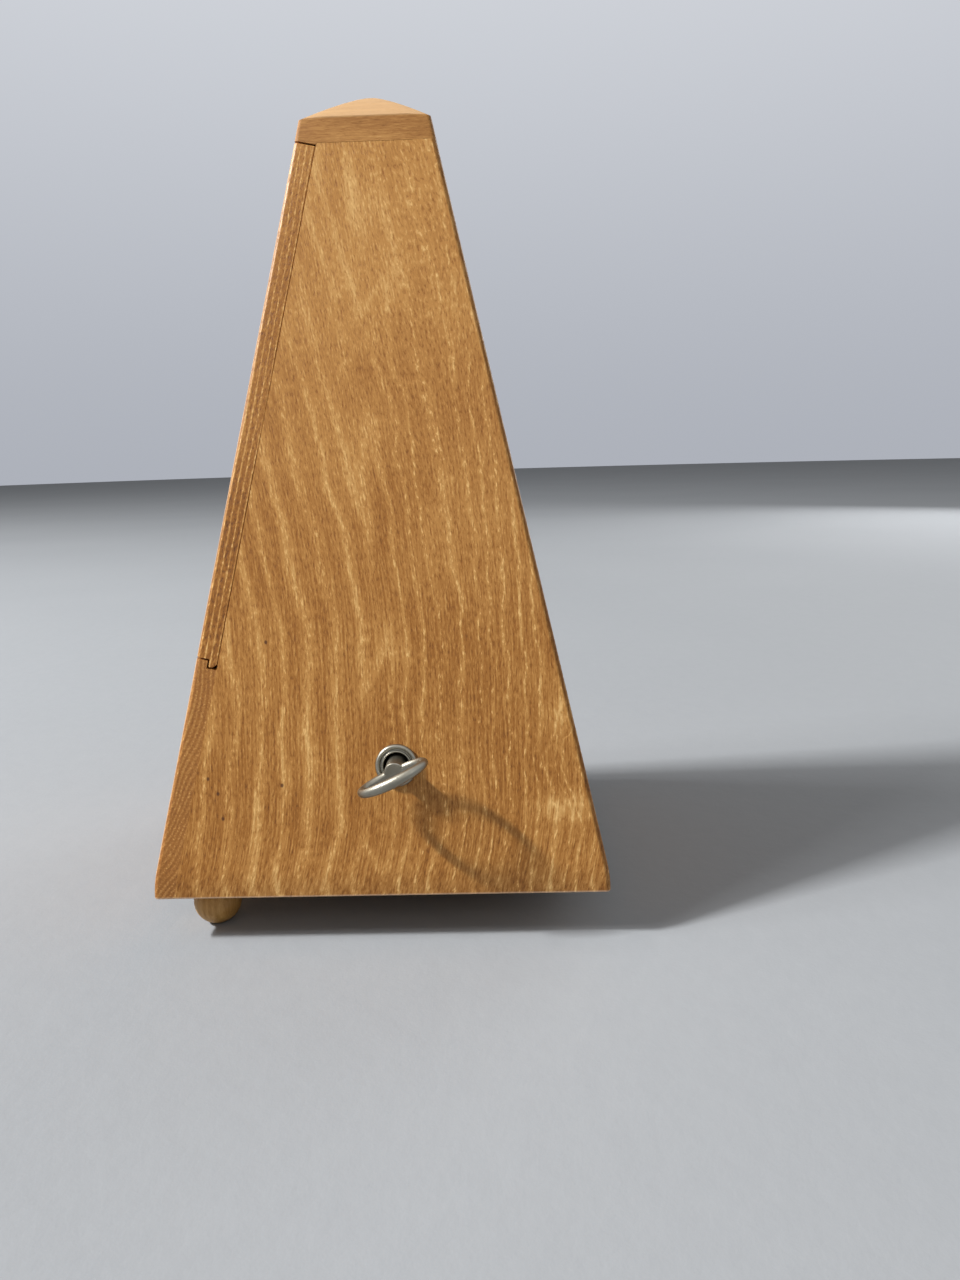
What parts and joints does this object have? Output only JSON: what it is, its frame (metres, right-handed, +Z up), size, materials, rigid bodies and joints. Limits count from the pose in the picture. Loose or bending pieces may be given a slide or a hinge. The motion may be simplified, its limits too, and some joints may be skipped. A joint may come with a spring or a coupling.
{
  "type": "metronome",
  "caption": "Wind-up pendulum metronome in a wooden pyramid case on ball feet, with a lift-off front door, a sliding weight and a winding key in the side.",
  "frame": {"origin": "centre of the base board's underside, above the feet", "axes": "+Z up the pyramid, -Y out of the door, +X out of the side that the key is in"},
  "size_m": [0.1307, 0.1212, 0.2254],
  "materials": {
    "honey_wood": "satin varnish",
    "cap_wood": "satin varnish",
    "inner_wood": "bare, matt",
    "pale_wood": "smooth, matt",
    "brass": "satin",
    "steel": "brushed",
    "pewter": "satin, nickel plated",
    "cast_iron": "painted, matt"
  },
  "bodies": {
    "case": {"side_panel_left": "honey_wood", "side_panel_right": "honey_wood", "back_panel": "honey_wood", "front_panel": "honey_wood", "cap": "cap_wood", "base_board": "inner_wood", "scale_board": "inner_wood", "foot_front_left": "pale_wood", "foot_front_right": "pale_wood", "foot_back": "pale_wood", "scale_plate": "brass", "scale_pin_low": "brass", "scale_pin_high": "brass", "rod_keeper": "brass", "front_bridge": "brass", "rear_cock": "brass", "movement_plate_left": "brass", "movement_plate_right": "brass", "pillar_1": "brass", "pillar_2": "brass", "pillar_3": "brass", "pillar_4": "brass", "door_catch": "steel", "catch_screw": "steel", "plate_screw_1": "steel", "plate_screw_2": "steel", "plate_screw_3": "steel", "plate_screw_4": "steel", "click_screw": "steel", "key_ferrule": "pewter"},
    "door": {"door": "honey_wood", "door_strike": "steel"},
    "pendulum": {"pendulum_rod": "steel", "pendulum_bob": "cast_iron", "rod_collet": "brass", "pendulum_arbor": "steel", "front_pallet": "steel", "rear_pallet": "steel"},
    "sliding_weight": {"sliding_weight": "brass", "weight_spring": "steel"},
    "winding": {"winding_key": "pewter", "winding_arbor": "steel", "ratchet_wheel": "steel"},
    "barrel": {"great_wheel": "brass", "barrel_drum": "brass", "mainspring": "steel"},
    "intermediate": {"intermediate_arbor": "steel", "intermediate_wheel": "brass"},
    "escape": {"escape_arbor": "steel", "escape_wheel": "brass"},
    "click": {"click": "steel"}
  },
  "joints": [
    {"name": "door_tilt", "type": "hinge", "parent": "case", "child": "door", "pos_m": [0, -0.04788, 0.063], "axis": [1, 0, 0], "range_deg": [0, 60]},
    {"name": "pendulum_swing", "type": "hinge", "parent": "case", "child": "pendulum", "pos_m": [0, -0.03779, 0.0576], "axis": [0, 0.9775, -0.2108], "range_deg": [-5, 5]},
    {"name": "weight_slide", "type": "slide", "parent": "pendulum", "child": "sliding_weight", "axis": [0, 0.2108, 0.9775], "range_m": [-0.036, 0.043]},
    {"name": "winding_turn", "type": "hinge", "parent": "case", "child": "winding", "pos_m": [0, 0.005, 0.0339], "axis": [-1, 0, 0], "range_deg": [0, 2160]},
    {"name": "barrel_spin", "type": "hinge", "parent": "case", "child": "barrel", "pos_m": [0, 0.005, 0.0339], "axis": [1, 0, 0], "continuous": true},
    {"name": "intermediate_spin", "type": "hinge", "parent": "case", "child": "intermediate", "pos_m": [0, -0.01717, 0.02742], "axis": [1, 0, 0], "continuous": true},
    {"name": "escape_spin", "type": "hinge", "parent": "case", "child": "escape", "pos_m": [0, -0.01708, 0.03942], "axis": [1, 0, 0], "continuous": true},
    {"name": "click_lift", "type": "hinge", "parent": "case", "child": "click", "pos_m": [0, -0.00511, 0.04238], "axis": [1, 0, 0], "range_deg": [0, 14], "stiffness_Nm_per_rad": 0.002, "springref_deg": -5.73}
  ],
  "couplings": [
    {"joint": "intermediate_spin", "follows": "barrel_spin", "ratio": -6},
    {"joint": "escape_spin", "follows": "barrel_spin", "ratio": 18}
  ]
}
